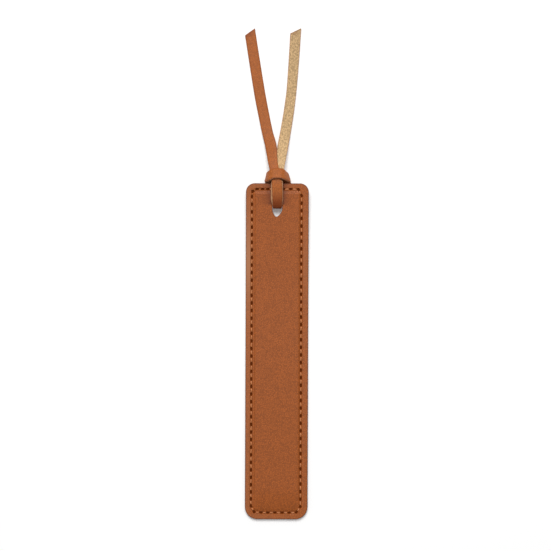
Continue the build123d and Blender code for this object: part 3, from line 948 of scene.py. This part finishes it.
def lace_material(finishes):
    """Lace leather: fine grain on one side, suede on the other and a raw cut edge between.

    The flat strip's coordinates give the side by depth, the margins by the way across, and a slow
    darkening of the suede along it.
    """
    made, tree, shader = new_material("lace_leather")
    flat = attribute(tree, "strip", "Vector")
    split = add_node(tree, "ShaderNodeSeparateXYZ", {"Vector": flat})
    along, across, depth = split.outputs["X"], split.outputs["Y"], split.outputs["Z"]
    grain_height, grain_tone = place_texture(tree, pebbled_grain, flat, 1900.0)
    nap_height, nap_tone = place_texture(tree, suede_nap, flat, 2000.0)
    is_grain = remap(tree, depth, 0.00022, 0.00036)
    is_suede = remap(tree, depth, -0.00042, -0.00048)
    # painted shade where the lace bends into the hole, also used to darken its margins and tips
    burnish = attribute(tree, "burnish")
    margin = remap(tree, compute(tree, "ABSOLUTE", across), 0.0019, 0.0024, 0.0, 0.45)
    dark, pale = tinted(finishes.grain, 0.78), tinted(finishes.grain, 1.18)
    smooth = mix_colour(tree, remap(tree, grain_tone, 0.42, 0.68), dark, pale)
    smooth = mix_colour(tree, compute(tree, "MAXIMUM", burnish, margin), smooth, finishes.burnish)
    low, high = tinted(finishes.suede, 0.66), tinted(finishes.suede, 1.28)
    fading = compute(tree, "ADD", nap_tone, remap(tree, along, 0.012, 0.058, 0.022, -0.022))
    fuzzy = coat(tree, mix_colour(tree, remap(tree, fading, 0.41, 0.59), low, high), (
        (compute(tree, "MULTIPLY", margin, 1.3), finishes.cut_edge),
        (compute(tree, "MULTIPLY", burnish, 0.55), finishes.burnish),
    ))
    base = mix_colour(tree, is_grain, finishes.cut_edge, smooth)
    base = coat(tree, base, ((is_suede, fuzzy), (attribute(tree, "cut_tip"), finishes.burnish)))
    heights = {0: is_suede, 2: grain_height, 3: nap_height}
    height = add_node(tree, "ShaderNodeMix", heights, data_type="FLOAT").outputs[0]
    rough = remap(tree, is_suede, 0.0, 1.0, 0.55, 0.92)
    shade(tree, shader, base, rough, height, strength=0.4, distance=0.00006)
    shader.inputs["Specular IOR Level"].default_value = 0.3
    return made


def card_material(finishes):
    """Pressed fibre board: matt, flecked with short fibres."""
    made, tree, shader = new_material("fibre_board")
    height, tone = place_texture(tree, suede_nap, object_place(tree), 1800.0)
    base = mix_colour(tree, tone, tinted(finishes.card, 0.75), finishes.card)
    rough = remap(tree, tone, 0.0, 1.0, 0.8, 0.95)
    shade(tree, shader, base, rough, height, strength=0.3, distance=0.00005)
    return made


# How strong the table's own light is, and its share where the table is seen directly.
FLOOR_GLOW, GLOW_SHARE = 1.8, 0.1


def floor_material(finishes):
    """White table: lit white that keeps the shadow, lifted towards plain white where it is seen directly."""
    made, tree, shader = new_material("white_table")
    for label, value in (("Base Color", finishes.floor), ("Roughness", 0.9), ("Specular IOR Level", 0.0)):
        shader.inputs[label].default_value = value
    path = add_node(tree, "ShaderNodeLightPath")
    seen = compute(tree, "MAXIMUM", path.outputs["Is Camera Ray"], path.outputs["Is Glossy Ray"])
    glow = add_node(tree, "ShaderNodeEmission", {"Color": (1.0, 1.0, 1.0, 1.0), "Strength": FLOOR_GLOW})
    lifted = {0: compute(tree, "MULTIPLY", seen, GLOW_SHARE), 1: shader.outputs[0], 2: glow.outputs[0]}
    mixed = add_node(tree, "ShaderNodeMixShader", lifted)
    tree.links.new(mixed.outputs[0], tree.nodes["Material Output"].inputs["Surface"])
    return made


def shared_material(make, name, finishes):
    """A material that is built once and used again."""
    return bpy.data.materials.get(name) or make(finishes)


def give(piece, material):
    """Gives a piece its material, in place of any it had."""
    piece.data.materials.clear()
    piece.data.materials.append(material)


# Operators


# Half the table's side and how far it lies under the part, the lamp's size, its place and where it points,
# and the camera's film width in millimetres and the distances that it sees from and to.
TABLE_HALF, TABLE_DROP = 1.5, 0.00005
LAMP_SIZE, LAMP_PLACE, LAMP_AIM = 0.85, Vector((-0.08, 0.90, 1.48)), Vector((0.0, 0.05, 0.0))
FILM_WIDTH, CLIP_START, CLIP_END = 36.0, 0.01, 10.0


class BOOKMARK_OT_stage(bpy.types.Operator):
    """Make the white table, the soft light and the camera straight above"""

    bl_idname = "bookmark.stage"
    bl_label = "Stage"

    def execute(self, context):
        settings, scene = sizes(context), context.scene
        stage = settings.stage
        scene.view_settings.view_transform = "Standard"
        corners = TABLE_HALF * np.array([(-1, -1), (1, -1), (1, 1), (-1, 1)])
        points = np.column_stack([corners, np.full(4, -TABLE_DROP)])
        floor = make_mesh("table_top", points, [np.arange(4)], {}, SKIN_CREASE)
        floor.data.materials.append(floor_material(settings.finishes))

        scene.world = bpy.data.worlds.new("studio")
        scene.world.use_nodes = True
        back = scene.world.node_tree.nodes["Background"]
        back.inputs["Color"].default_value = (1.0, 1.0, 1.0, 1.0)
        back.inputs["Strength"].default_value = stage.sky

        lamp = bpy.data.lights.new("softbox", "AREA")
        lamp.energy = stage.key_power
        lamp.shape = "SQUARE"
        lamp.size = LAMP_SIZE
        holder = bpy.data.objects.new("softbox", lamp)
        scene.collection.objects.link(holder)
        holder.location = LAMP_PLACE
        holder.rotation_mode = "QUATERNION"
        holder.rotation_quaternion = (LAMP_AIM - LAMP_PLACE).to_track_quat("-Z", "Y")

        lens = bpy.data.cameras.new("overhead")
        lens.lens = stage.lens
        lens.sensor_width = FILM_WIDTH
        lens.clip_start, lens.clip_end = CLIP_START, CLIP_END
        camera = bpy.data.objects.new("overhead", lens)
        scene.collection.objects.link(camera)
        camera.location = (stage.centre_x, stage.centre_y, stage.frame_width / FILM_WIDTH * stage.lens)
        camera.rotation_euler = (0.0, 0.0, stage.roll)
        scene.camera = camera
        return {"FINISHED"}


class BOOKMARK_OT_tails(bpy.types.Operator):
    """Make the two free tails of the lace"""

    bl_idname = "bookmark.tails"
    bl_label = "Lace tails"

    def execute(self, context):
        settings = sizes(context)
        lace = settings.lace
        material = shared_material(lace_material, "lace_leather", settings.finishes)
        for name, node, slot, stations, tip_angle, grain_up in (
            ("left_lace_tail", "left_tail", "lace", LEFT_TAIL, LEFT_TIP_ANGLE, True),
            ("right_lace_tail", "right_tail", "lace_suede", RIGHT_TAIL, RIGHT_TIP_ANGLE, False),
        ):
            points, flat, path, tip_shade = tail_strip(lace, stations, tip_angle, grain_up)
            tail = strip_mesh(name, points, flat, {"cut_tip": tip_shade})
            give(tail, material)
            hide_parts(node)
            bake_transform(tail)
        return {"FINISHED"}


# How dark the painted shade on the lace is where it bends into the hole, and how far that reaches.
BEND_SHADE_STRENGTH, BEND_SHADE_REACH = 0.92, 0.0088


class BOOKMARK_OT_hitch(bpy.types.Operator):
    """Make the tied lace: down the front, through the hole, up behind and over as a collar"""

    bl_idname = "bookmark.hitch"
    bl_label = "Lace hitch"

    def execute(self, context):
        settings = sizes(context)
        hole, lace = settings.hole, settings.lace
        place, across, share = lace_stations(settings.board, hole, lace)
        half = across * (lace.width / 2 * share)[:, None]
        right, left = spline_points(place + half, KNOT_STEPS), spline_points(place - half, KNOT_STEPS)
        centre = (right + left) / 2
        points, flat = strip(lace, centre, right - left, np.linalg.norm(right - left, axis=1))
        # painted shade on the lace, darkest where it turns down into the hole
        bent = np.linalg.norm(centre - (0.0, hole.top - lace.far_turn, centre[:, 2].max()), axis=1)
        burnish = np.repeat(BEND_SHADE_STRENGTH * ease(1 - bent / BEND_SHADE_REACH)[:, None], points.shape[1], 1)
        hitch = strip_mesh("lace_knot", points, flat, {"burnish": burnish})
        give(hitch, shared_material(lace_material, "lace_leather", settings.finishes))
        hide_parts("lace_hitch")
        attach(hitch, "board")
        return {"FINISHED"}


class BOOKMARK_OT_skins(bpy.types.Operator):
    """Make the front and back skins, and finish the card between them"""

    bl_idname = "bookmark.skins"
    bl_label = "Skins and stiffener"

    def execute(self, context):
        settings = sizes(context)
        board, hole, seam, lace = settings.board, settings.hole, settings.seam, settings.lace
        material = shared_material(leather_material, "saddle_leather", settings.finishes)
        back, rim = board.back_thickness, board.back_thickness + board.front_thickness
        for name, node, slot, face, inner, swell, bed, flip in (
            ("front_skin", "front_panel", "front_leather", rim, back, board.swell, seam.front_bed, True),
            ("back_skin", "back_panel", "back_leather", 0.0, back - board.ply_gap, 0.0, seam.back_bed, False),
        ):
            points, needle, groove, paint = skin(board, hole, seam, face, inner, swell, bed)
            values = {
                "needle_hole": needle, "groove": groove, "edge_paint": paint,
                "contact_shade": lace_contact_shade(hole, lace, points), "rim_sheen": painted_rim_sheen(board, points),
            }
            piece = make_mesh(name, points, grid_faces(*points.shape[:2], True, flip), values, SKIN_CREASE)
            give(piece, material)
            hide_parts(node)
            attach(piece, "board")
        give(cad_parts["stiffener"], card_material(settings.finishes))
        return {"FINISHED"}


class BOOKMARK_OT_seam(bpy.types.Operator):
    """Make the needle thread and the bobbin thread of the lockstitch"""

    bl_idname = "bookmark.seam"
    bl_label = "Seam threads"

    def execute(self, context):
        settings = sizes(context)
        board, seam = settings.board, settings.seam
        material = shared_material(thread_material, "seam_thread", settings.finishes)
        back, rim = board.back_thickness, board.back_thickness + board.front_thickness
        half = seam.thread_thickness / 2
        for name, node, lock, crest in (
            ("needle_strand", "needle_thread", back + half, rim - seam.front_bed + half),
            ("bobbin_strand", "bobbin_thread", back - half, seam.back_bed - half),
        ):
            points, dip, strand = seam_thread(board, seam, lock, crest)
            faces = grid_faces(*points.shape[:2], True, True)
            piece = make_mesh(name, points, faces, {"dip": dip, "strand": strand}, THREAD_CREASE)
            give(piece, material)
            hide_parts(node)
            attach(piece, "board")
        return {"FINISHED"}


STEPS = (BOOKMARK_OT_stage, BOOKMARK_OT_tails, BOOKMARK_OT_hitch, BOOKMARK_OT_skins, BOOKMARK_OT_seam)


class BOOKMARK_PT_panel(bpy.types.Panel):
    """Sizes, finishes and steps of the bookmark"""

    bl_idname = "BOOKMARK_PT_panel"
    bl_label = "Bookmark"
    bl_space_type = "VIEW_3D"
    bl_region_type = "UI"
    bl_category = "Bookmark"

    def draw(self, context):
        for label, group in GROUPS.items():
            box = self.layout.box()
            box.label(text=label.split("_")[1].capitalize())
            for name in group.__annotations__:
                box.prop(getattr(context.scene, label), name)
        for step in STEPS:
            self.layout.operator(step.bl_idname)


def register():
    """Registers the settings, the steps and the panel."""
    for label, group in GROUPS.items():
        bpy.utils.register_class(group)
        setattr(bpy.types.Scene, label, PointerProperty(type=group))
    for step in STEPS:
        bpy.utils.register_class(step)
    bpy.utils.register_class(BOOKMARK_PT_panel)


def unregister():
    """Takes them out again."""
    bpy.utils.unregister_class(BOOKMARK_PT_panel)
    for step in reversed(STEPS):
        bpy.utils.unregister_class(step)
    for label, group in reversed(GROUPS.items()):
        delattr(bpy.types.Scene, label)
        bpy.utils.unregister_class(group)


def main():
    """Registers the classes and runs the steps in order."""
    register()
    bpy.ops.bookmark.stage()
    bpy.ops.bookmark.tails()
    bpy.ops.bookmark.hitch()
    bpy.ops.bookmark.skins()
    bpy.ops.bookmark.seam()


if __name__ == "__main__":
    main()
